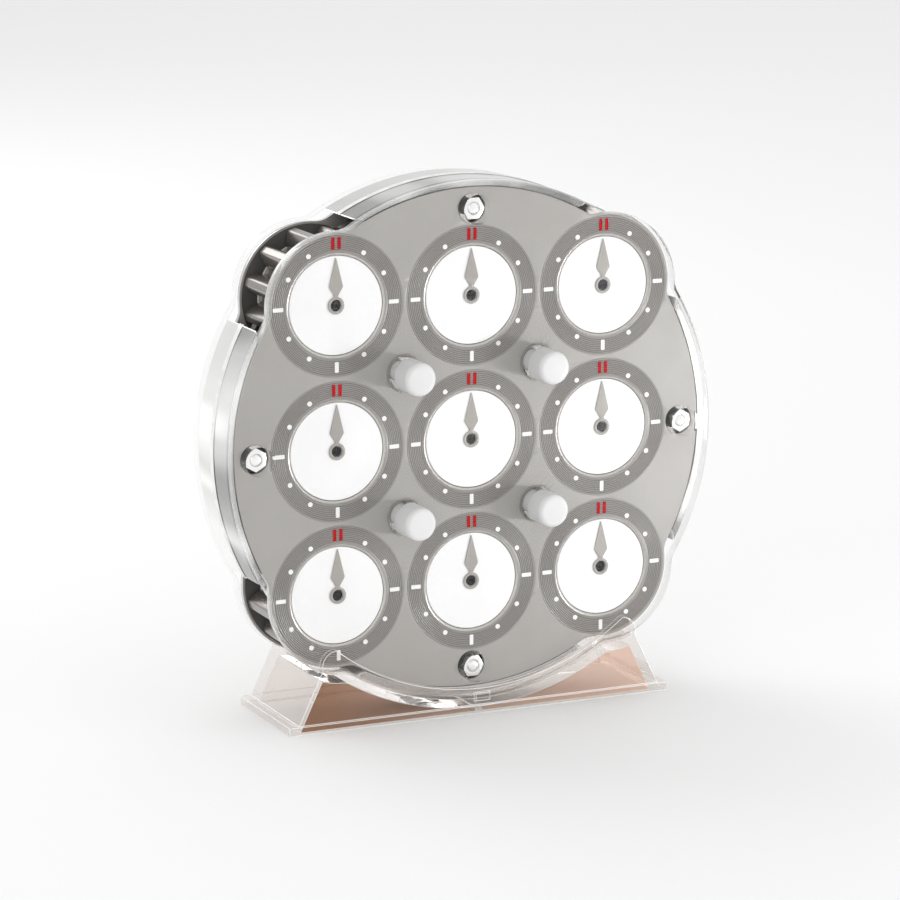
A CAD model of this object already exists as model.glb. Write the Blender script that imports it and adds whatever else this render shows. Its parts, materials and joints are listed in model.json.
"""Looks of the nine-dial clock puzzle and its clear stand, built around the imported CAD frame."""

import json
import math

import bmesh
import bpy
from mathutils import Matrix, Vector, geometry


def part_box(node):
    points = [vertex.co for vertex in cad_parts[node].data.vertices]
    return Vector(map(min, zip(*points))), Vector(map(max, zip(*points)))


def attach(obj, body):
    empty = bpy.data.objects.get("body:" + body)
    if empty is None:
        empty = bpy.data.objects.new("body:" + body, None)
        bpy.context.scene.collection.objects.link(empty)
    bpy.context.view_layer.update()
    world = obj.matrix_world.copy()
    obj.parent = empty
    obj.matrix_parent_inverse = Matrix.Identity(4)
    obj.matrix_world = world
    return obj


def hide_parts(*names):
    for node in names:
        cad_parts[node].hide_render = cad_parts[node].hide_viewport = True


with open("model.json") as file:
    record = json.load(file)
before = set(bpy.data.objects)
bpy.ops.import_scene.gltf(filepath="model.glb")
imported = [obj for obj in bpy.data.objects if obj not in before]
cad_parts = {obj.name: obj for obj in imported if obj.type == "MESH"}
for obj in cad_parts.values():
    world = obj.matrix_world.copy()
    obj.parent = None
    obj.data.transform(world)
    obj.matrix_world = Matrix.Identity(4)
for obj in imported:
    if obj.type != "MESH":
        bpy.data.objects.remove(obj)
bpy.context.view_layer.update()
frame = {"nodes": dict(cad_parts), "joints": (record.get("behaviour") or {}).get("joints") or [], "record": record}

# ---------------------------------------------------------------- sizes, in millimetres
MM = 0.001
JOINTS = {j["name"]: j for j in frame["joints"]}
CENTRE_H = JOINTS["front_dial_centre_spin"]["pos_m"][2] / MM
PITCH = JOINTS["wheel_top_right_spin"]["pos_m"][0] / MM
PIN_PITCH = JOINTS["pin_gear_top_right_spin"]["pos_m"][0] / MM


def depths(node):
    """Where a front node lies along the puzzle's thickness: (inner, outer) height above the mid-plane."""
    low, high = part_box(node)
    return -high.y / MM, -low.y / MM


def half_width(node):
    low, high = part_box(node)
    return (high.x - low.x) / 2 / MM


COVER_Z, COVER_TOP = depths("front_cover")
FACE_Z, FACE_TOP = depths("front_face_plate")
BAND_Z, BAND_TOP = depths("front_side_band")
DIAL_Z, DISC_TOP = depths("front_dial_centre")
HAND_Z, HAND_TOP = depths("front_hand_centre")
PIN_END, PIN_TOP = depths("pin_top_left")
NUT_Z, NUT_TOP = depths("case_nuts")
STUD_TOP = depths("case_bolts")[1]
WHEEL_HALF = depths("finger_wheel_top_left")[1]
CASE_R = half_width("front_cover")
FACE_R = half_width("front_face_plate")
BAND_R = half_width("front_side_band")
PIN_R = half_width("pin_top_left")
HUB_R = half_width("front_hand_centre")

LOBE_R = 12.9
FACE_LOBE_R = 12.6
BLEND_R = 4.0
BAND_IN_R = 43.0
REBATE_R = 43.7
BAND_CUT_R = 14.7
LIP_W = 0.65
WINDOW_R = 8.55
DISC_R = 8.45
BEZEL_R = 8.94
RING_R = 12.15
PIN_HOLE_R = 3.05
RECESS_R = 2.55
BOLT_CIRCLE_R = 40.0
HUB_HOLE_R = 1.0

CORNERS = {"top_left": (-1, 1), "top_right": (1, 1), "bottom_left": (-1, -1), "bottom_right": (1, -1)}
PLUS = {"top": (0, 1), "left": (-1, 0), "centre": (0, 0), "right": (1, 0), "bottom": (0, -1)}
COMPASS = [(0, 1), (-1, 0), (1, 0), (0, -1)]
ALL_DIALS = list(CORNERS.values()) + list(PLUS.values())

# puzzle axes (x right, y up, z to the front) to the row frame, in metres
PUZZLE = (Matrix.Translation((0, 0, CENTRE_H * MM)) @ Matrix.Rotation(math.pi / 2, 4, "X")
          @ Matrix.Scale(MM, 4))
ROW = Matrix.Scale(MM, 4)
FLIP = Matrix.Rotation(math.pi, 4, "Y")
SIDES = {"front": Matrix.Identity(4), "back": FLIP}


def shift(x, y, z=0.0):
    return Matrix.Translation((x, y, z))


# ---------------------------------------------------------------- outlines
def arc(centre, radius, start, end, steps):
    """Points along an arc, angles in degrees, both ends included."""
    out = []
    for i in range(steps + 1):
        a = math.radians(start + (end - start) * i / steps)
        out.append((centre[0] + radius * math.cos(a), centre[1] + radius * math.sin(a)))
    return out


def circle(centre, radius, steps=96):
    return arc(centre, radius, 0, 360, steps)[:-1]


BLEND_STEPS, LOBE_STEPS, ARC_STEPS = 10, 44, 48


def lobed_loop(radius, lobe, blend):
    """The case's outline: a circle with four corner lobes and tangent blends."""
    far = PITCH * math.sqrt(2)
    reach, near = radius + blend, lobe + blend
    swing = math.acos((reach ** 2 + far ** 2 - near ** 2) / (2 * reach * far))
    psi = math.degrees(math.atan2(reach * math.sin(swing), reach * math.cos(swing) - far))
    swing = math.degrees(swing)
    loop = []
    for k in range(4):
        a = 45 + 90 * k
        centre = arc((0, 0), far, a, a, 1)[0]
        before = arc((0, 0), reach, a - swing, a - swing, 1)[0]
        after = arc((0, 0), reach, a + swing, a + swing, 1)[0]
        loop += arc(before, blend, a - swing + 180, a - psi + 180, BLEND_STEPS)
        loop += arc(centre, lobe, a - psi, a + psi, LOBE_STEPS)[1:-1]
        loop += arc(after, blend, a + psi + 180, a + swing + 180, BLEND_STEPS)
        loop += arc((0, 0), radius, a + swing, a + 90 - swing, ARC_STEPS)[1:-1]
    return loop


DIAL_TEETH, PIN_TEETH = 12, 8
TOOTH_PHASE = 45
MODULE = 2 * (PIN_PITCH * math.sqrt(2)) / (DIAL_TEETH + PIN_TEETH)
PRESSURE = math.radians(28)
BACKLASH = 0.15
TOOTH_SHIFT = 0.5
TIP_MODULES, ROOT_MODULES = 0.8, 1.05
TIP_STEPS, FLANK_STEPS, VALLEY_STEPS = 5, 6, 14
VALLEY_POWER = 4


def involute(a):
    return math.tan(a) - a


def gear_loop(teeth, phase, tip_round=0.3):
    """Involute teeth with rounded tips and valleys; one tooth is centred on phase, in degrees."""
    pitch_r = MODULE * teeth / 2
    base_r = pitch_r * math.cos(PRESSURE)
    tip_r = pitch_r + TIP_MODULES * MODULE
    root_r = pitch_r - ROOT_MODULES * MODULE

    def half(q):
        turn = math.pi / 2 / teeth + (TOOTH_SHIFT - BACKLASH) / 2 / pitch_r
        return turn + involute(PRESSURE) - involute(math.acos(min(1.0, base_r / q)))

    def polar(q, a):
        return q * math.cos(a), q * math.sin(a)

    def corner(side, c):
        start = polar(tip_r - tip_round, c + side * half(tip_r - tip_round))
        knee = polar(tip_r, c + side * half(tip_r))
        end = polar(tip_r, c + side * (half(tip_r) - tip_round / tip_r))
        out = []
        for i in range(TIP_STEPS + 1):
            t = i / TIP_STEPS
            out.append(tuple((1 - t) ** 2 * s + 2 * t * (1 - t) * k + t * t * e
                             for s, k, e in zip(start, knee, end)))
        return out

    loop = []
    step = 2 * math.pi / teeth
    for n in range(teeth):
        c = math.radians(phase) + n * step
        flank = [base_r + (tip_r - tip_round - base_r) * i / FLANK_STEPS for i in range(FLANK_STEPS)]
        loop += [polar(q, c - half(q)) for q in flank]
        loop += corner(-1, c)
        loop += corner(1, c)[::-1]
        loop += [polar(q, c + half(q)) for q in flank[::-1]]
        a0, a1 = c + half(base_r), c + step - half(base_r)
        for i in range(1, VALLEY_STEPS):
            t = i / VALLEY_STEPS
            rise = abs(2 * t - 1) ** VALLEY_POWER
            loop.append(polar(root_r + (base_r - root_r) * rise, a0 + (a1 - a0) * t))
    return loop


# ---------------------------------------------------------------- mesh building
class Shape:
    """Vertices and faces of one piece, collected from several parts."""

    def __init__(self):
        self.points = []
        self.faces = []

    def add(self, points, faces, place=None):
        first = len(self.points)
        place = place or Matrix.Identity(4)
        self.points += [place @ Vector(p) for p in points]
        self.faces += [[first + i for i in face] for face in faces]


def inward(loop):
    """Unit normals that point into the material of a loop whose material lies on its left."""
    out = []
    count = len(loop)
    for i in range(count):
        before, here, after = (Vector(loop[(i + k) % count]) for k in (-1, 0, 1))
        first, second = (here - before).normalized(), (after - here).normalized()
        n1, n2 = Vector((-first.y, first.x)), Vector((-second.y, second.x))
        mid = n1 + n2
        if mid.length < 1e-6:
            mid = n1
        mid.normalize()
        out.append(mid / max(0.5, mid.dot(n1)))
    return out


def turn_sense(loop):
    return sum(a[0] * b[1] - b[0] * a[1] for a, b in zip(loop, loop[1:] + loop[:1]))


def plate(shape, loops, z0, z1, edges, place=None, steps=3):
    """Flat plate between z0 and z1. loops[0] is its outline and the rest are holes; edges rounds each rim."""
    if not hasattr(edges, "__len__"):
        edges = [edges] * len(loops)
    points, faces, rims = [], [], []
    for k, (loop, edge) in enumerate(zip(loops, edges)):
        if (turn_sense(loop) > 0) != (k == 0):
            loop = loop[::-1]
        normals = inward(loop)
        rings = []
        turns = [math.pi / 2 * i / steps for i in range(steps + 1)] if edge else [math.pi / 2]
        for a in turns:
            rings.append((edge * (1 - math.sin(a)), z0 + edge * (1 - math.cos(a))))
        for a in reversed(turns):
            rings.append((edge * (1 - math.sin(a)), z1 - edge * (1 - math.cos(a))))
        if not edge:
            rings = [(0, z0), (0, z1)]
        base, count = len(points), len(loop)
        for inset, z in rings:
            points += [(p[0] + n.x * inset, p[1] + n.y * inset, z) for p, n in zip(loop, normals)]
        for r in range(len(rings) - 1):
            for i in range(count):
                j = (i + 1) % count
                a, b = base + r * count, base + (r + 1) * count
                faces.append([a + i, a + j, b + j, b + i])
        rims.append((base, base + (len(rings) - 1) * count, count))
    flat, rings = [], []
    for first, last, count in rims:
        ring = list(range(len(flat), len(flat) + count))
        rings.append(ring if not rings else ring[::-1])
        flat += [(first + i, last + i) for i in range(count)]
    corners = [Vector(points[low][:2]) for low, high in flat]
    filled = geometry.delaunay_2d_cdt(corners, [], rings, 1, 1e-9)
    for tri, owners in zip(filled[2], filled[5]):
        if owners == [0]:
            for side in (0, 1):
                faces.append([flat[filled[3][i][0]][side] for i in tri])
    shape.add(points, faces, place)


def lathe(shape, profile, place=None, steps=96, closed=True):
    """Turns a profile of (radius, height) points about the z axis. A closed profile joins its ends."""
    points, faces, rings = [], [], []
    for r, z in profile:
        if r < 1e-9:
            rings.append([len(points)] * steps)
            points.append((0, 0, z))
        else:
            rings.append([len(points) + i for i in range(steps)])
            points += [(*p, z) for p in circle((0, 0), r, steps)]
    pairs = list(zip(rings, rings[1:] + (rings[:1] if closed else [])))
    for low, high in pairs:
        for i in range(steps):
            j = (i + 1) % steps
            face = list(dict.fromkeys([low[i], low[j], high[j], high[i]]))
            if len(face) > 2:
                faces.append(face)
    shape.add(points, faces, place)


def rounded_rod(r, z0, z1, edge, steps=5):
    """Profile of a rod with rounded ends, from the axis at z0 to the axis at z1."""
    low = [(x, z) for x, z in arc((r - edge, z0 + edge), edge, -90, 0, steps)]
    high = [(x, z) for x, z in arc((r - edge, z1 - edge), edge, 0, 90, steps)]
    return [(0, z0)] + low + high + [(0, z1)]


def piece(name, shape, material, body, replaces=(), sharp=35, weighted=True, second=None, pick=None):
    """Makes an object of a shape, gives it its material and lets it ride on its CAD body.

    Faces for which pick(face) is true get the second material.
    """
    mesh = bpy.data.meshes.new(name)
    mesh.from_pydata([PUZZLE @ p for p in shape.points], [], shape.faces)
    bm = bmesh.new()
    bm.from_mesh(mesh)
    bmesh.ops.remove_doubles(bm, verts=bm.verts, dist=1e-7)
    bmesh.ops.dissolve_degenerate(bm, edges=bm.edges, dist=1e-8)
    bmesh.ops.recalc_face_normals(bm, faces=bm.faces)
    bm.to_mesh(mesh)
    bm.free()
    for face in mesh.polygons:
        face.use_smooth = True
    mesh.set_sharp_from_angle(angle=math.radians(sharp))
    obj = bpy.data.objects.new(name, mesh)
    bpy.context.scene.collection.objects.link(obj)
    mesh.materials.append(material)
    if second:
        mesh.materials.append(second)
        for face in mesh.polygons:
            face.material_index = int(pick(face))
    if weighted:
        normals = obj.modifiers.new("face_weighted_normals", "WEIGHTED_NORMAL")
        normals.keep_sharp = True
    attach(obj, body)
    if replaces:
        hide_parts(*replaces)
    return obj


# ---------------------------------------------------------------- materials
def node_material(name):
    mat = bpy.data.materials.new(name)
    mat.use_nodes = True
    tree = mat.node_tree
    shader = tree.nodes["Principled BSDF"]
    return mat, tree, shader


def add(tree, kind, **inputs):
    node = tree.nodes.new(kind)
    for key, value in inputs.items():
        if hasattr(node, key):
            setattr(node, key, value)
        else:
            node.inputs[key.replace("_", " ")].default_value = value
    return node


NOISE_LOW, NOISE_HIGH = 0.35, 0.65


def noise_between(tree, scale, low, high, detail=3.0, stretch=(1, 1, 1), shift=0.0):
    """A number that wanders between low and high over the surface, following the object's own place."""
    where = add(tree, "ShaderNodeTexCoord")
    mapping = add(tree, "ShaderNodeMapping")
    mapping.inputs["Scale"].default_value = stretch
    mapping.inputs["Location"].default_value = (shift, shift, shift)
    cloud = add(tree, "ShaderNodeTexNoise", Scale=scale, Detail=detail)
    ramp = add(tree, "ShaderNodeMapRange")
    ramp.inputs["From Min"].default_value = NOISE_LOW
    ramp.inputs["From Max"].default_value = NOISE_HIGH
    ramp.inputs["To Min"].default_value = low
    ramp.inputs["To Max"].default_value = high
    tree.links.new(where.outputs["Object"], mapping.inputs["Vector"])
    tree.links.new(mapping.outputs["Vector"], cloud.inputs["Vector"])
    tree.links.new(cloud.outputs["Fac"], ramp.inputs["Value"])
    return ramp.outputs["Result"]


def two_tone(tree, amount, first, second):
    """Colour between two tones, by a number from 0 to 1."""
    ramp = add(tree, "ShaderNodeValToRGB")
    ramp.color_ramp.elements[0].color = (*first, 1)
    ramp.color_ramp.elements[1].color = (*second, 1)
    tree.links.new(amount, ramp.inputs["Fac"])
    return ramp.outputs["Color"]


def bump(tree, shader, height, strength, distance):
    node = add(tree, "ShaderNodeBump", Strength=strength, Distance=distance)
    tree.links.new(height, node.inputs["Height"])
    tree.links.new(node.outputs["Normal"], shader.inputs["Normal"])


TONE_GRAIN, GLOSS_GRAIN, RELIEF_GRAIN = 0.12, 0.3, 3
SOLID_BUMP, SOLID_COAT_ROUGH = 0.35, 0.08
STREAK_METAL, STREAK_BUMP, STREAK_RELIEF, STREAK_WARMTH = 0.85, 0.3, 0.00001, 0.985
CLEAR_COAT_ROUGH = 0.02
TINT_REACH = 0.034


def solid_finish(name, first, second, rough, metallic=0.0, grain=900.0, relief=0.00002, coat=0.0,
                 specular=0.5, stretch=(1, 1, 1)):
    """Moulded or plated surface: two close tones, a wandering gloss and a fine relief."""
    mat, tree, shader = node_material(name)
    shader.inputs["Metallic"].default_value = metallic
    shader.inputs["Coat Weight"].default_value = coat
    shader.inputs["Coat Roughness"].default_value = SOLID_COAT_ROUGH
    shader.inputs["Specular IOR Level"].default_value = specular
    tones = noise_between(tree, grain * TONE_GRAIN, 0.0, 1.0, stretch=stretch)
    tree.links.new(two_tone(tree, tones, first, second), shader.inputs["Base Color"])
    gloss = noise_between(tree, grain * GLOSS_GRAIN, rough[0], rough[1], stretch=stretch)
    tree.links.new(gloss, shader.inputs["Roughness"])
    height = noise_between(tree, grain * RELIEF_GRAIN, 0.0, 1.0, detail=2.0, stretch=stretch)
    bump(tree, shader, height, SOLID_BUMP, relief)
    return mat


def streaked_finish(name, tones, rough, seed):
    """Polished metal whose brightness changes with height, in soft streaks across the case's thickness.

    tones are pairs of height, from 0 at the case's foot to 1 at its top, and grey level.
    """
    mat, tree, shader = node_material(name)
    shader.inputs["Metallic"].default_value = STREAK_METAL
    where = add(tree, "ShaderNodeTexCoord")
    parts = add(tree, "ShaderNodeSeparateXYZ")
    height = add(tree, "ShaderNodeMapRange")
    height.inputs["From Min"].default_value = (CENTRE_H - CASE_R) * MM
    height.inputs["From Max"].default_value = (CENTRE_H + CASE_R) * MM
    tree.links.new(where.outputs["Object"], parts.inputs["Vector"])
    tree.links.new(parts.outputs["Z"], height.inputs["Value"])
    wander = add(tree, "ShaderNodeMath", operation="ADD")
    tree.links.new(height.outputs["Result"], wander.inputs[0])
    sway = noise_between(tree, 90.0, -0.03, 0.03, detail=1.5, stretch=(1, 0.25, 1), shift=seed)
    tree.links.new(sway, wander.inputs[1])
    ramp = add(tree, "ShaderNodeValToRGB")
    ramp.color_ramp.interpolation = "EASE"
    for i, (place, grey) in enumerate(tones):
        stop = ramp.color_ramp.elements[i] if i < 2 else ramp.color_ramp.elements.new(place)
        stop.position = place
        stop.color = (grey, grey, grey * STREAK_WARMTH, 1)
    tree.links.new(wander.outputs[0], ramp.inputs["Fac"])
    tree.links.new(ramp.outputs["Color"], shader.inputs["Base Color"])
    tree.links.new(noise_between(tree, 250.0, rough[0], rough[1]), shader.inputs["Roughness"])
    bump(tree, shader, noise_between(tree, 2500.0, 0.0, 1.0, detail=2.0), STREAK_BUMP, STREAK_RELIEF)
    return mat


def left_to_right(tree, reach):
    """A number from 0 at the left to 1 at the right of the object, over plus and minus reach."""
    where = add(tree, "ShaderNodeTexCoord")
    parts = add(tree, "ShaderNodeSeparateXYZ")
    ramp = add(tree, "ShaderNodeMapRange", interpolation_type="SMOOTHSTEP")
    ramp.inputs["From Min"].default_value = -reach
    ramp.inputs["From Max"].default_value = reach
    tree.links.new(where.outputs["Object"], parts.inputs["Vector"])
    tree.links.new(parts.outputs["X"], ramp.inputs["Value"])
    return ramp.outputs["Result"]


def clear_finish(name, tint, rough, shade, milky=0.0, gloss=0.3, tint_right=None, ior=1.06):
    """Clear acrylic that bends light only a little, so that its edges stay bright; a thin coat adds gloss.

    Lamps shine through it with a little shade. milky is the share of light that scatters at the surface.
    Where tint_right is given, the colour runs from tint at the left to tint_right at the right.
    """
    mat, tree, shader = node_material(name)
    shader.inputs["Transmission Weight"].default_value = 1.0 - milky
    shader.inputs["IOR"].default_value = ior
    shader.inputs["Coat Weight"].default_value = gloss
    shader.inputs["Coat Roughness"].default_value = CLEAR_COAT_ROUGH
    blend = left_to_right(tree, TINT_REACH) if tint_right else noise_between(tree, 40.0, 0.0, 1.0)
    tree.links.new(two_tone(tree, blend, tint, tint_right or [min(1.0, c * 1.01) for c in tint]),
                   shader.inputs["Base Color"])
    tree.links.new(noise_between(tree, 120.0, rough[0], rough[1]), shader.inputs["Roughness"])
    through = add(tree, "ShaderNodeBsdfTransparent")
    through.inputs["Color"].default_value = (*shade, 1)
    path = add(tree, "ShaderNodeLightPath")
    either = add(tree, "ShaderNodeMath", operation="MAXIMUM")
    tree.links.new(path.outputs["Is Shadow Ray"], either.inputs[0])
    tree.links.new(path.outputs["Is Diffuse Ray"], either.inputs[1])
    mix = add(tree, "ShaderNodeMixShader")
    tree.links.new(either.outputs[0], mix.inputs["Fac"])
    tree.links.new(shader.outputs["BSDF"], mix.inputs[1])
    tree.links.new(through.outputs["BSDF"], mix.inputs[2])
    tree.links.new(mix.outputs["Shader"], tree.nodes["Material Output"].inputs["Surface"])
    return mat


CLEAR = clear_finish("clear_cover", (0.99, 0.99, 0.99), (0.0, 0.01), (0.97, 0.97, 0.97), gloss=0.2)
CLEAR_EDGE = clear_finish("clear_edge", (0.93, 0.93, 0.925), (0.05, 0.12), (0.93, 0.93, 0.93),
                          milky=0.22, gloss=0.8)
CLEAR_STAND = clear_finish("clear_stand", (0.92, 0.885, 0.865), (0.0, 0.02), (0.93, 0.92, 0.91),
                           gloss=0.35, ior=1.03)
CLEAR_CRADLE = clear_finish("clear_cradle", (0.97, 0.96, 0.955), (0.0, 0.02), (0.95, 0.94, 0.93),
                            gloss=0.08, ior=1.02)
STAND_EDGE = clear_finish("clear_stand_edge", (0.93, 0.92, 0.91), (0.05, 0.12), (0.93, 0.92, 0.91),
                          milky=0.6, gloss=1.0, ior=1.03)
WARM_STAND = clear_finish("warm_stand", (0.17, 0.055, 0.022), (0.0, 0.02), (0.85, 0.74, 0.66),
                          gloss=0.2, tint_right=(0.96, 0.58, 0.43), ior=1.03)
FACE = solid_finish("face_grey", (0.365, 0.35, 0.33), (0.385, 0.37, 0.35), (0.34, 0.44), relief=0.00001)
FACE_EDGE = solid_finish("face_edge", (0.60, 0.59, 0.58), (0.72, 0.71, 0.70), (0.15, 0.25), metallic=0.5)
RING = solid_finish("ring_grey", (0.28, 0.265, 0.25), (0.30, 0.285, 0.27), (0.28, 0.38),
                    relief=0.00001, specular=0.3)
GROOVE = solid_finish("ring_groove", (0.10, 0.095, 0.09), (0.12, 0.115, 0.11), (0.4, 0.5),
                      relief=0.00001, specular=0.1)
BEZEL = solid_finish("bezel_grey", (0.55, 0.53, 0.50), (0.58, 0.56, 0.53), (0.18, 0.26), metallic=0.6)
WHITE = solid_finish("dial_white", (0.90, 0.90, 0.90), (0.93, 0.93, 0.93), (0.30, 0.40), relief=0.00001)
HAND = solid_finish("hand_grey", (0.36, 0.34, 0.315), (0.39, 0.37, 0.34), (0.30, 0.40))
MARK_WHITE = solid_finish("mark_white", (0.90, 0.90, 0.89), (0.93, 0.93, 0.92), (0.40, 0.50))
MARK_RED = solid_finish("mark_red", (0.42, 0.003, 0.006), (0.47, 0.004, 0.008), (0.35, 0.45), specular=0.05)
FRONT_STREAKS = [(0.0, 0.6), (1.0, 0.62), (0.28, 0.30), (0.33, 0.80), (0.40, 0.42), (0.45, 0.30),
                 (0.53, 0.62), (0.60, 0.95), (0.68, 0.70), (0.76, 0.38), (0.90, 0.26), (0.96, 0.34)]
BACK_STREAKS = [(0.0, 0.8), (1.0, 0.66), (0.30, 0.97), (0.40, 0.75), (0.44, 0.95), (0.48, 0.70), (0.60, 0.98),
                (0.70, 0.85), (0.78, 0.75), (0.90, 0.55), (0.96, 0.62)]
SILVER = streaked_finish("band_silver", FRONT_STREAKS, (0.12, 0.2), 0.31)
SILVER_BACK = streaked_finish("band_silver_back", BACK_STREAKS, (0.12, 0.2), 0.74)
BAND_END = solid_finish("band_end", (0.80, 0.80, 0.79), (0.97, 0.97, 0.97), (0.10, 0.16), metallic=0.2,
                        grain=5000.0, stretch=(1, 0.12, 1))
DARK = solid_finish("frame_dark", (0.035, 0.035, 0.037), (0.05, 0.05, 0.052), (0.40, 0.55))
STEEL = solid_finish("post_steel", (0.45, 0.43, 0.40), (0.50, 0.48, 0.45), (0.25, 0.35), metallic=1.0)
SCREW = solid_finish("screw_black", (0.030, 0.030, 0.032), (0.05, 0.05, 0.052), (0.22, 0.32), metallic=0.9)
CHROME = solid_finish("bolt_chrome", (0.92, 0.92, 0.91), (0.96, 0.96, 0.95), (0.12, 0.22), metallic=0.75)
BLACK = solid_finish("washer_black", (0.010, 0.010, 0.010), (0.018, 0.018, 0.018), (0.35, 0.5))
NICKEL = solid_finish("magnet_nickel", (0.60, 0.60, 0.60), (0.66, 0.65, 0.64), (0.12, 0.2), metallic=1.0)
RUBBER = solid_finish("ring_rubber", (0.27, 0.26, 0.245), (0.30, 0.29, 0.275), (0.55, 0.7))
WHEEL = solid_finish("wheel_metal", (0.27, 0.25, 0.235), (0.36, 0.335, 0.315), (0.2, 0.3), metallic=0.8,
                     stretch=(1, 0.1, 1))
FLANGE = solid_finish("wheel_flange", (0.62, 0.60, 0.575), (0.68, 0.655, 0.63), (0.25, 0.35), metallic=0.2)
PIN = solid_finish("pin_white", (0.70, 0.70, 0.70), (0.74, 0.74, 0.74), (0.30, 0.42),
                   relief=0.00001, specular=0.3)
IVORY = solid_finish("gear_ivory", (0.70, 0.66, 0.56), (0.75, 0.71, 0.62), (0.35, 0.5))

CAD_FINISH = {
    "clear_stand": CLEAR_STAND, "clear_cover": CLEAR, "face_grey": FACE, "band_silver": SILVER,
    "frame_dark": DARK, "post_steel": STEEL, "screw_black": SCREW, "bolt_chrome": CHROME, "washer_black": BLACK,
    "magnet_nickel": NICKEL, "ring_rubber": RUBBER, "wheel_metal": WHEEL, "dial_white": WHITE,
    "hand_grey": HAND, "pin_white": PIN, "gear_ivory": IVORY,
}
for row in frame["record"]["subparts"]:
    node = frame["nodes"][row["node"]]
    node.data.materials.clear()
    node.data.materials.append(CAD_FINISH[row["material_slot"]])


def from_centre(face):
    """Distance of a face from the case's axis, in metres."""
    return math.hypot(face.center.x, face.center.z - CENTRE_H * MM)


# ---------------------------------------------------------------- covers
COVER_ROUND, HOLE_ROUND = 0.7, 0.15
COVER_SIDEWAYS, FACE_SIDEWAYS = 0.85, 0.8
for side, turn in SIDES.items():
    shape = Shape()
    holes = [circle((x * PIN_PITCH, y * PIN_PITCH), PIN_HOLE_R, 64) for x, y in CORNERS.values()]
    holes += [circle((x * BOLT_CIRCLE_R, y * BOLT_CIRCLE_R), RECESS_R, 64) for x, y in COMPASS]
    rims = [COVER_ROUND] + [HOLE_ROUND] * len(holes)
    plate(shape, [lobed_loop(CASE_R, LOBE_R, BLEND_R)] + holes, COVER_Z, COVER_TOP, rims, turn, steps=5)
    piece(f"clear_cover_{side}", shape, CLEAR, "case", [f"{side}_cover"], second=CLEAR_EDGE,
          pick=lambda face: abs(face.normal.y) < COVER_SIDEWAYS and from_centre(face) > BAND_IN_R * MM)

# ---------------------------------------------------------------- face plates, rings and marks
RING_Z = FACE_Z + 0.1
GROOVES = 8
GROOVE_FIRST_R = 9.5
GROOVE_PITCH = 0.32
GROOVE_DEEP = 0.07
GROOVE_SLOPE = 0.08
RING_GAP = 0.02


def ring_profile():
    """Section of a dial ring: flat near the bezel, then fine round grooves."""
    top = [(BEZEL_R + RING_GAP, FACE_TOP), (GROOVE_FIRST_R - GROOVE_SLOPE, FACE_TOP)]
    for g in range(GROOVES):
        r = GROOVE_FIRST_R + g * GROOVE_PITCH
        top += [(r, FACE_TOP - GROOVE_DEEP), (r + GROOVE_SLOPE, FACE_TOP - GROOVE_DEEP)]
        top += [(r + 2 * GROOVE_SLOPE, FACE_TOP), (r + GROOVE_PITCH - GROOVE_SLOPE, FACE_TOP)]
    top = [p for p in top if p[0] < RING_R - 0.05]
    outer = RING_R - RING_GAP
    return [(BEZEL_R + RING_GAP, RING_Z)] + top + [(outer, FACE_TOP), (outer, RING_Z)]


BEZEL_PROFILE = [(WINDOW_R, RING_Z), (WINDOW_R, FACE_TOP - 0.26), (WINDOW_R + 0.04, FACE_TOP - 0.22),
                 (BEZEL_R - 0.06, FACE_TOP - 0.01), (BEZEL_R, FACE_TOP), (BEZEL_R, RING_Z)]
MARK_Z, MARK_TOP = FACE_TOP - GROOVE_DEEP, FACE_TOP + 0.05
MARK_ROUND, MARK_CORNER = 0.02, 0.12
RED_X, RED_IN_R, RED_OUT_R, RED_W = 0.58, 9.55, 11.6, 0.6
STROKE_IN_R, STROKE_OUT_R, STROKE_W = 9.6, 11.4, 0.7
DOT_CENTRE_R, DOT_R = 10.0, 0.43
PIN_CLEARANCE = 0.45
FACE_ROUND = 0.06


def bar(cx, r0, r1, width, turn_deg):
    """A bar that points out from a dial's centre, as a loop with small round corners."""
    h, c = width / 2, MARK_CORNER
    loop = arc((cx + h - c, r1 - c), c, 0, 90, 3) + arc((cx - h + c, r1 - c), c, 90, 180, 3)
    loop += arc((cx - h + c, r0 + c), c, 180, 270, 3) + arc((cx + h - c, r0 + c), c, 270, 360, 3)
    a = math.radians(turn_deg)
    return [(x * math.cos(a) + y * math.sin(a), -x * math.sin(a) + y * math.cos(a)) for x, y in loop]


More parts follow.
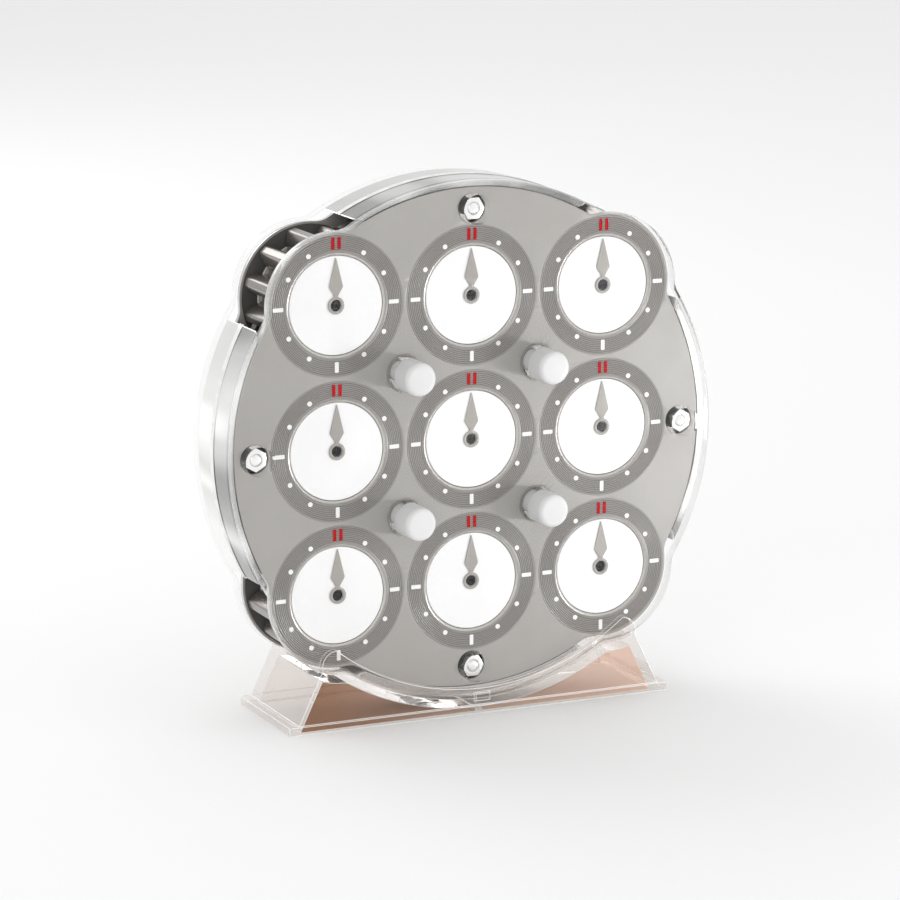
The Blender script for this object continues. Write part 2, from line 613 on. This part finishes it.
for side, turn in SIDES.items():
    face, rings, bezels, whites, reds = Shape(), Shape(), Shape(), Shape(), Shape()
    holes = [circle((x * PITCH, y * PITCH), RING_R, 128) for x, y in ALL_DIALS]
    holes += [circle((x * PIN_PITCH, y * PIN_PITCH), PIN_R + PIN_CLEARANCE, 64) for x, y in CORNERS.values()]
    holes += [circle((x * BOLT_CIRCLE_R, y * BOLT_CIRCLE_R), RECESS_R, 64) for x, y in COMPASS]
    outline = lobed_loop(FACE_R, FACE_LOBE_R, BLEND_R)
    plate(face, [outline] + holes, FACE_Z, FACE_TOP, FACE_ROUND, turn, steps=2)
    for x, y in ALL_DIALS:
        at = turn @ shift(x * PITCH, y * PITCH)
        lathe(rings, ring_profile(), at, steps=144)
        lathe(bezels, BEZEL_PROFILE, at, steps=128)
        for hour in range(12):
            if hour == 0:
                for cx in (-RED_X, RED_X):
                    stroke = bar(cx, RED_IN_R, RED_OUT_R, RED_W, 0)
                    plate(reds, [stroke], MARK_Z, MARK_TOP, MARK_ROUND, at, steps=1)
            elif hour % 3 == 0:
                stroke = bar(0, STROKE_IN_R, STROKE_OUT_R, STROKE_W, 30 * hour)
                plate(whites, [stroke], MARK_Z, MARK_TOP, MARK_ROUND, at, steps=1)
            else:
                a = math.radians(30 * hour)
                dot = circle((DOT_CENTRE_R * math.sin(a), DOT_CENTRE_R * math.cos(a)), DOT_R, 24)
                plate(whites, [dot], MARK_Z, MARK_TOP, MARK_ROUND, at, steps=1)
    rim_r = (BOLT_CIRCLE_R + RECESS_R) * MM
    piece(f"face_plate_{side}", face, FACE, "case", [f"{side}_face_plate"], second=FACE_EDGE,
          pick=lambda face: abs(face.normal.y) < FACE_SIDEWAYS and from_centre(face) > rim_r)
    groove_y = (FACE_TOP - GROOVE_DEEP * 0.7) * MM
    piece(f"dial_rings_{side}", rings, RING, "case", sharp=60, weighted=False, second=GROOVE,
          pick=lambda face: abs(face.normal.y) > 0.9 and abs(face.center.y) < groove_y)
    piece(f"window_bezels_{side}", bezels, BEZEL, "case")
    piece(f"hour_marks_white_{side}", whites, MARK_WHITE, "case")
    piece(f"hour_marks_red_{side}", reds, MARK_RED, "case")

# ---------------------------------------------------------------- side bands
BAND_ROUND, LIP_ROUND, LIP_NICK = 0.3, 0.07, 0.06
BAND_PROFILE = (
    [(BAND_IN_R, BAND_Z), (BAND_IN_R, FACE_Z - 0.02), (REBATE_R, FACE_Z - 0.02), (REBATE_R, BAND_TOP - 0.1),
     (REBATE_R + 0.1, BAND_TOP)]
    + arc((CASE_R - BAND_ROUND, BAND_TOP - BAND_ROUND), BAND_ROUND, 90, 0, 4)
    + [(CASE_R, BAND_Z + LIP_W + 0.12), (CASE_R - LIP_NICK, BAND_Z + LIP_W + LIP_NICK),
       (CASE_R - LIP_NICK, BAND_Z + LIP_W)]
    + arc((BAND_R - LIP_ROUND, BAND_Z + LIP_W - LIP_ROUND), LIP_ROUND, 90, 0, 3)
    + arc((BAND_R - LIP_ROUND, BAND_Z + LIP_ROUND), LIP_ROUND, 0, -90, 3)
)


def cut_angle(radius):
    """Angle from a diagonal at which the finger cut-out meets a given radius."""
    far = PITCH * math.sqrt(2)
    return math.degrees(math.acos((radius ** 2 + far ** 2 - BAND_CUT_R ** 2) / (2 * radius * far)))


BAND_BEVEL = 0.3
END_SMALLER = (0.8, 0.93)
END_DEPTH = BAND_BEVEL * 0.8


def band(shape, place, steps=48):
    """Four arcs of a turned profile, each closed at both ends behind a bevel."""
    count = len(BAND_PROFILE)
    middle = [sum(p[i] for p in BAND_PROFILE) / count for i in (0, 1)]
    small = [tuple(m + (v - m) * k for v, m, k in zip(p, middle, END_SMALLER)) for p in BAND_PROFILE]
    for k in range(4):
        points, faces = [], []
        for i in range(-1, steps + 2):
            at_end = i in (-1, steps + 1)
            for r, z in small if at_end else BAND_PROFILE:
                reach = 45 - cut_angle(r) - (0 if at_end else math.degrees(BAND_BEVEL / r))
                a = math.radians(90 * k - reach + 2 * reach * min(max(i, 0), steps) / steps)
                points.append((r * math.cos(a), r * math.sin(a), z))
        rings = steps + 3
        for i in range(rings - 1):
            for p in range(count):
                q = (p + 1) % count
                faces.append([i * count + p, i * count + q, (i + 1) * count + q, (i + 1) * count + p])
        faces.append(list(range(count)))
        faces.append([(rings - 1) * count + p for p in range(count)])
        shape.add(points, faces, place)


def near_cut(face):
    """True on the ends of a band, which lie along the round finger cut-outs."""
    x, y = abs(face.center.x) / MM, abs(face.center.z / MM - CENTRE_H)
    return math.hypot(x - PITCH, y - PITCH) < BAND_CUT_R + END_DEPTH


for side, turn in SIDES.items():
    shape = Shape()
    band(shape, turn)
    finish = SILVER if side == "front" else SILVER_BACK
    piece(f"side_band_{side}", shape, finish, "case", [f"{side}_side_band"], second=BAND_END,
          pick=lambda face: near_cut(face) or from_centre(face) > (CASE_R + 0.02) * MM)

# ---------------------------------------------------------------- dials, wheels and hands
DISC_Z = FACE_Z - 0.5
POST_BORE_R = 1.55
DIAL_GEAR_T = 2.7
GEAR_TOP = DIAL_Z + DIAL_GEAR_T
GEAR_ROUND, WHEEL_ROUND, WHEEL_TIP_ROUND, WHEEL_HOLE_R = 0.1, 0.18, 0.34, 0.6
HAND_ROUND = 0.04
HAND_HALF = [(0.0, 8.1), (0.10, 7.95), (1.22, 3.42), (1.24, 3.20), (1.20, 3.02), (0.45, 1.80), (0.39, 1.66)]
HAND_ROOT = (0.42, 1.42)
LIP_IN_Z = DISC_TOP - 0.3
SEAT_R = 4.0
DISC_EDGE = 0.12


def disc_profile(z0, bore_z):
    """Section of a dial disc with a softly rounded rim and a stepped bore."""
    return (
        [(POST_BORE_R, z0), (DISC_R - 0.05, z0), (DISC_R, z0 + 0.05)]
        + arc((DISC_R - DISC_EDGE, DISC_TOP - DISC_EDGE), DISC_EDGE, 0, 90, 4)
        + [(HUB_HOLE_R + 0.04, DISC_TOP), (HUB_HOLE_R, DISC_TOP - 0.04), (HUB_HOLE_R, bore_z)]
        + [(POST_BORE_R, bore_z)]
    )


def hand_loop():
    """Outline of a hand: a long kite that grows out of a round hub."""
    start = math.degrees(math.atan2(HAND_ROOT[1], HAND_ROOT[0]))
    hub = arc((0, 0), HUB_R, start, -180 - start, 44)
    left = [(-x, y) for x, y in HAND_HALF[1:]]
    return HAND_HALF + hub + left[::-1]


def hand(shape, place):
    loops = [hand_loop(), circle((0, 0), HUB_HOLE_R, 48)]
    plate(shape, loops, HAND_Z, HAND_TOP, HAND_ROUND, place, steps=2)


for side, turn in SIDES.items():
    for name, (x, y) in PLUS.items():
        at = shift(x * PITCH, y * PITCH) @ turn
        shape = Shape()
        lathe(shape, disc_profile(DISC_Z, LIP_IN_Z), at, steps=128)
        seat_z, seat_top = GEAR_TOP - 0.02, DISC_Z + 0.02
        seat = [(POST_BORE_R, seat_z), (SEAT_R, seat_z), (SEAT_R, seat_top), (POST_BORE_R, seat_top)]
        lathe(shape, seat, at, steps=64)
        loops = [gear_loop(DIAL_TEETH, TOOTH_PHASE), circle((0, 0), POST_BORE_R, 48)]
        plate(shape, loops, DIAL_Z, GEAR_TOP, GEAR_ROUND, at, steps=2)
        body = f"{side}_dial_{name}"
        piece(f"{side}_dial_disc_{name}", shape, WHITE, body, [f"{side}_dial_{name}"])
        shape = Shape()
        hand(shape, at)
        piece(f"{side}_kite_hand_{name}", shape, HAND, body, [f"{side}_hand_{name}"])

FLANGE_R = 9.5
FLANGE_T = 0.45
FLANGE_IN_R = 2.0
for name, (x, y) in CORNERS.items():
    body = f"wheel_{name}"
    wheel, flanges, discs, hands = Shape(), Shape(), Shape(), Shape()
    at = shift(x * PITCH, y * PITCH)
    loops = [gear_loop(DIAL_TEETH, TOOTH_PHASE, WHEEL_TIP_ROUND), circle((0, 0), WHEEL_HOLE_R, 32)]
    plate(wheel, loops, -WHEEL_HALF, WHEEL_HALF, WHEEL_ROUND, at, steps=3)
    for turn in SIDES.values():
        low = WHEEL_HALF - FLANGE_T
        rim = [(FLANGE_IN_R, low), (FLANGE_R - 0.1, low), (FLANGE_R, low + 0.1), (FLANGE_R, WHEEL_HALF - 0.1),
               (FLANGE_R - 0.1, WHEEL_HALF + 0.02), (FLANGE_IN_R, WHEEL_HALF + 0.02)]
        lathe(flanges, rim, at @ turn)
        lathe(discs, disc_profile(WHEEL_HALF + 0.03, LIP_IN_Z), at @ turn, steps=128)
        hand(hands, at @ turn)
    piece(f"finger_grip_{name}", wheel, WHEEL, body, [f"finger_wheel_{name}"])
    piece(f"wheel_flanges_{name}", flanges, FLANGE, body)
    piece(f"corner_discs_{name}", discs, WHITE, body, [f"corner_dials_{name}"])
    piece(f"corner_kite_hands_{name}", hands, HAND, body, [f"corner_hands_{name}"])

# ---------------------------------------------------------------- pins
PIN_ROUND = 0.9
for name, (x, y) in CORNERS.items():
    shape = Shape()
    at = shift(x * PIN_PITCH, y * PIN_PITCH)
    lathe(shape, rounded_rod(PIN_R, PIN_END, PIN_TOP, PIN_ROUND, 8), at, steps=96, closed=False)
    piece(f"push_pin_{name}", shape, PIN, f"pin_{name}", [f"pin_{name}"])

# ---------------------------------------------------------------- nuts and bolts
NUT_AF = 3.6
NUT_STEPS = 8
NUT_TURNED = 0.12
NUT_SLOPE = 0.35
BOLT_R = 1.0
THREAD_R, THREAD_ROOT_R, THREAD_PITCH = 0.99, 0.86, 0.2


def at_radius(points, radius, z):
    """Points moved in or out to one radius about the axis, at a given height."""
    return [(x / math.hypot(x, y) * radius, y / math.hypot(x, y) * radius, z) for x, y in points]


def nut(shape, place):
    """Hexagon nut whose corners are turned down to a cone, with a chamfered bore."""
    flat = NUT_AF / 2
    outline = []
    for k in range(6):
        first, second = [(flat / math.cos(math.pi / 6) * math.cos(math.radians(a)),
                          flat / math.cos(math.pi / 6) * math.sin(math.radians(a)))
                         for a in (60 * k, 60 + 60 * k)]
        for i in range(NUT_STEPS):
            t = i / NUT_STEPS
            outline.append((first[0] * (1 - t) + second[0] * t, first[1] * (1 - t) + second[1] * t))
    count = len(outline)
    rings = []
    for z, drop in ((NUT_Z, 0), (NUT_TOP, 1)):
        rings.append([(x, y, z - drop * (math.hypot(x, y) - flat + NUT_TURNED) * NUT_SLOPE)
                      for x, y in outline])
    turned = at_radius(outline, flat - NUT_TURNED, NUT_TOP)
    bore_out = at_radius(outline, BOLT_R + 0.16, NUT_TOP)
    bore_in = at_radius(outline, BOLT_R + 0.02, NUT_TOP - 0.14)
    bore_low = [(x, y, NUT_Z) for x, y, z in bore_in]
    loops = rings + [turned, bore_out, bore_in, bore_low]
    points = [p for loop in loops for p in loop]
    faces = []
    for r in range(len(loops)):
        s = (r + 1) % len(loops)
        for i in range(count):
            j = (i + 1) % count
            faces.append([r * count + i, r * count + j, s * count + j, s * count + i])
    shape.add(points, faces, place)


nuts, bolts = Shape(), Shape()
HEAD_Z = -NUT_Z
for x, y in COMPASS:
    at = shift(x * BOLT_CIRCLE_R, y * BOLT_CIRCLE_R) @ Matrix.Rotation(math.pi / 2 * abs(x), 4, "Z")
    nut(nuts, at)
    thread = [(0, STUD_TOP), (0.62, STUD_TOP), (0.96, STUD_TOP - 0.16)]
    z = STUD_TOP - THREAD_PITCH
    while z > NUT_Z - 0.1:
        thread += [(THREAD_R, z), (THREAD_ROOT_R, z - THREAD_PITCH / 2), (THREAD_R, z - THREAD_PITCH)]
        z -= THREAD_PITCH
    thread += [(0.98, HEAD_Z), (1.8, HEAD_Z), (1.9, HEAD_Z - 0.1)]
    thread += arc((1.3, HEAD_Z - 0.9), 0.6, 0, -90, 5)
    thread += [(0.75, HEAD_Z - 1.5), (0.7, HEAD_Z - 1.42), (0.7, HEAD_Z - 0.7), (0, HEAD_Z - 0.6)]
    lathe(bolts, thread, at, steps=48, closed=False)
piece("hex_nuts", nuts, CHROME, "case", ["case_nuts"], sharp=25)
piece("case_studs", bolts, CHROME, "case", ["case_bolts"], sharp=50)

# ---------------------------------------------------------------- stand
STAND_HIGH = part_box("stand")[1] / MM
FOOT_END, FOOT_SIDE, FOOT_H = 1.1, 0.3, 1.5
TAB_W, TAB_Z, TAB_H, TAB_T = 2.8, 2.3, 1.5, 0.5
RIB_W = 1.2
WALL_L, WALL_D = STAND_HIGH.x - FOOT_END, STAND_HIGH.y - TAB_T
FOOT_L, FOOT_D = WALL_L + FOOT_END, WALL_D + FOOT_SIDE
SLOPE = 0.48
WALL_TOP = 11.0
STAND_WALL = 1.4
LIP_R = 43.0
HORN_R, HORN_X, HORN_Z = 2.7, 27.1, 11.4
CRADLE_GAP = 0.3
SLOT_D = COVER_TOP + 0.4
EDGE_ROUND = 0.18
EDGE_SLOT, WARM_SLOT, CRADLE_SLOT = 1, 2, 3
STAND_SHARP = math.radians(40)
CUT_PAST = 20
FACE_TOLERANCE = 0.02


def stand_side_loop():
    """The stand's side view: slanted ends, rounded horns and the lip's arc about the puzzle's centre."""
    steps = 2000
    slope = next(z for z in (HORN_Z * i / steps for i in range(steps + 1))
                 if math.hypot(WALL_L - SLOPE * z - HORN_X, z - HORN_Z) <= HORN_R)
    start = math.degrees(math.atan2(slope - HORN_Z, WALL_L - SLOPE * slope - HORN_X))
    far = math.hypot(HORN_X, CENTRE_H - HORN_Z)
    toward = math.degrees(math.atan2(CENTRE_H - HORN_Z, -HORN_X))
    meet = math.degrees(math.acos((HORN_R ** 2 + far ** 2 - LIP_R ** 2) / (2 * HORN_R * far)))
    horn = arc((HORN_X, HORN_Z), HORN_R, start, toward - meet, 18)
    end = math.degrees(math.atan2(horn[-1][1] - CENTRE_H, horn[-1][0]))
    lip = arc((0, CENTRE_H), LIP_R, end, -180 - end, 72)[1:-1]
    right = [(WALL_L, 0.0)] + horn
    return right + lip + [(-x, z) for x, z in reversed(right)]


def prism(name, loop, y0, y1):
    """Solid of a side view, in x and height, between two depths."""
    shape = Shape()
    count = len(loop)
    points = [(x, y0, z) for x, z in loop] + [(x, y1, z) for x, z in loop]
    faces = [list(range(count)), list(range(count, 2 * count))]
    faces += [[i, (i + 1) % count, count + (i + 1) % count, count + i] for i in range(count)]
    shape.add(points, faces)
    mesh = bpy.data.meshes.new(name)
    mesh.from_pydata([tuple(p) for p in shape.points], [], shape.faces)
    bm = bmesh.new()
    bm.from_mesh(mesh)
    bmesh.ops.recalc_face_normals(bm, faces=bm.faces)
    bm.to_mesh(mesh)
    bm.free()
    obj = bpy.data.objects.new(name, mesh)
    bpy.context.scene.collection.objects.link(obj)
    return obj


def combine(obj, other, operation):
    """Applies a boolean with another solid, which is then removed."""
    step = obj.modifiers.new("combine", "BOOLEAN")
    step.operation, step.object, step.solver = operation, other, "EXACT"
    apply_modifiers(obj)
    bpy.data.objects.remove(other)


def apply_modifiers(obj):
    depsgraph = bpy.context.evaluated_depsgraph_get()
    mesh = bpy.data.meshes.new_from_object(obj.evaluated_get(depsgraph))
    obj.modifiers.clear()
    obj.data = mesh


def rectangle(x0, x1, z0, z1):
    return [(x0, z0), (x1, z0), (x1, z1), (x0, z1)]


def cradle_loop(grow):
    loop = lobed_loop(CASE_R + grow, LOBE_R + grow, BLEND_R - grow)
    return [(x, z + CENTRE_H) for x, z in loop]


def build_stand():
    stand = prism("display_stand", stand_side_loop(), -WALL_D, WALL_D)
    combine(stand, prism("foot", rectangle(-FOOT_L, FOOT_L, 0, FOOT_H), -FOOT_D, FOOT_D), "UNION")
    for sign in (-1, 1):
        tab_d = sorted((sign * (WALL_D - TAB_T), sign * (WALL_D + TAB_T)))
        combine(stand, prism("tab", rectangle(-TAB_W / 2, TAB_W / 2, TAB_Z, TAB_Z + TAB_H), *tab_d), "UNION")
    combine(stand, prism("slot", cradle_loop(CRADLE_GAP), -SLOT_D, SLOT_D), "DIFFERENCE")
    inner_l, inner_d = WALL_L - STAND_WALL * math.hypot(1, SLOPE), WALL_D - STAND_WALL
    for sign in (-1, 1):
        loop = [(sign * RIB_W / 2, -1), (sign * (inner_l + SLOPE), -1),
                (sign * (inner_l - SLOPE * WALL_TOP), WALL_TOP), (sign * RIB_W / 2, WALL_TOP)]
        hollow = prism("hollow", loop, -inner_d, inner_d)
        cradle = prism("cradle", cradle_loop(CRADLE_GAP + STAND_WALL), -CUT_PAST, CUT_PAST)
        combine(hollow, cradle, "DIFFERENCE")
        combine(stand, hollow, "DIFFERENCE")
    mesh = stand.data
    mesh.transform(ROW)
    bm = bmesh.new()
    bm.from_mesh(mesh)
    bmesh.ops.remove_doubles(bm, verts=bm.verts, dist=1e-6)
    bmesh.ops.dissolve_degenerate(bm, edges=bm.edges, dist=1e-6)
    bm.to_mesh(mesh)
    bm.free()
    mesh.materials.clear()
    for finish in (CLEAR_STAND, STAND_EDGE, WARM_STAND, CLEAR_CRADLE):
        mesh.materials.append(finish)
    bevel = stand.modifiers.new("soft_edges", "BEVEL")
    bevel.width, bevel.segments = EDGE_ROUND * MM, 3
    bevel.limit_method, bevel.angle_limit = "ANGLE", STAND_SHARP
    bevel.use_clamp_overlap = True
    bevel.material = EDGE_SLOT
    apply_modifiers(stand)
    for face in stand.data.polygons:
        face.use_smooth = True
        on_cradle = LIP_R - 0.5 < from_centre(face) / MM < CASE_R + CRADLE_GAP + STAND_WALL + 0.2
        if abs(face.center.y + (WALL_D - STAND_WALL) * MM) < FACE_TOLERANCE * MM and face.normal.y > 0.9:
            face.material_index = WARM_SLOT
        elif face.center.z > FOOT_H * MM and abs(face.normal.y) < 0.3 and on_cradle:
            face.material_index = CRADLE_SLOT
    stand.data.set_sharp_from_angle(angle=STAND_SHARP)
    normals = stand.modifiers.new("face_weighted_normals", "WEIGHTED_NORMAL")
    normals.keep_sharp = True
    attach(stand, "stand")
    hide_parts("stand")


build_stand()

# ---------------------------------------------------------------- stage, lights and camera
FLOOR_REACH = 3.0
WORLD_LEFT, WORLD_RIGHT = 0.75, 0.99
KEY_W, FILL_W, RIM_W = 0.2, 0.4, 1.8
CAMERA_TURN, CAMERA_RISE = -24.6, 12.08
CAMERA_AIM_Y = -6.35
CAMERA_RIGHT, CAMERA_UP, CAMERA_BACK = -3.575, -1.925, 667.25
LENS, SENSOR_W = 155.7, 36.0


def stage_floor():
    mat, tree, shader = node_material("floor_white")
    shader.inputs["Roughness"].default_value = 0.7
    tree.links.new(two_tone(tree, noise_between(tree, 3.0, 0.0, 1.0), (0.94, 0.94, 0.94), (0.95, 0.95, 0.95)),
                   shader.inputs["Base Color"])
    mesh = bpy.data.meshes.new("floor")
    size = FLOOR_REACH
    corners = [(-size, -size, 0), (size, -size, 0), (size, size, 0), (-size, size, 0)]
    mesh.from_pydata(corners, [], [(0, 1, 2, 3)])
    mesh.materials.append(mat)
    floor = bpy.data.objects.new("floor", mesh)
    bpy.context.scene.collection.objects.link(floor)


def lamp(name, place, target, size, power):
    data = bpy.data.lights.new(name, "AREA")
    data.shape, data.size, data.size_y, data.energy = "RECTANGLE", size[0], size[1], power
    obj = bpy.data.objects.new(name, data)
    bpy.context.scene.collection.objects.link(obj)
    obj.location = place
    obj.rotation_euler = (Vector(target) - Vector(place)).to_track_quat("-Z", "Y").to_euler()


def studio():
    """Even white surroundings, a little dimmer to the left, and three soft lamps."""
    world = bpy.data.worlds.new("studio")
    bpy.context.scene.world = world
    world.use_nodes = True
    tree = world.node_tree
    where = add(tree, "ShaderNodeTexCoord")
    parts = add(tree, "ShaderNodeSeparateXYZ")
    across = add(tree, "ShaderNodeMapRange")
    across.inputs["From Min"].default_value = -1.0
    across.inputs["From Max"].default_value = 1.0
    across.inputs["To Min"].default_value = WORLD_LEFT
    across.inputs["To Max"].default_value = WORLD_RIGHT
    tree.links.new(where.outputs["Generated"], parts.inputs["Vector"])
    tree.links.new(parts.outputs["X"], across.inputs["Value"])
    tree.links.new(across.outputs["Result"], tree.nodes["Background"].inputs["Strength"])
    tree.nodes["Background"].inputs["Color"].default_value = (1, 1, 1, 1)
    middle = (0, 0, 0.045)
    lamp("key", (0.17, -0.15, 0.012), (0.01, 0, 0.03), (0.08, 0.02), KEY_W)
    lamp("fill", (-0.6, -0.5, 0.30), middle, (0.4, 0.6), FILL_W)
    lamp("rim", (-0.3, 0.6, 0.5), middle, (0.6, 0.4), RIM_W)


def camera():
    """Looks from the front left and a little above, off centre, as the photograph does."""
    azimuth, elevation = math.radians(CAMERA_TURN), math.radians(CAMERA_RISE)
    back = Vector((math.sin(azimuth) * math.cos(elevation), -math.cos(azimuth) * math.cos(elevation),
                   math.sin(elevation)))
    right = Vector((math.cos(azimuth), math.sin(azimuth), 0))
    up = back.cross(right)
    centre = Vector((0, CAMERA_AIM_Y * MM, CENTRE_H * MM))
    data = bpy.data.cameras.new("camera")
    data.lens, data.sensor_width = LENS, SENSOR_W
    data.clip_start, data.clip_end = 0.01, 20
    obj = bpy.data.objects.new("camera", data)
    bpy.context.scene.collection.objects.link(obj)
    obj.location = centre + (right * CAMERA_RIGHT + up * CAMERA_UP + back * CAMERA_BACK) * MM
    obj.rotation_euler = Matrix((right, up, back)).transposed().to_euler()
    bpy.context.scene.camera = obj


stage_floor()
studio()
camera()
bpy.context.scene.view_settings.view_transform = "Standard"
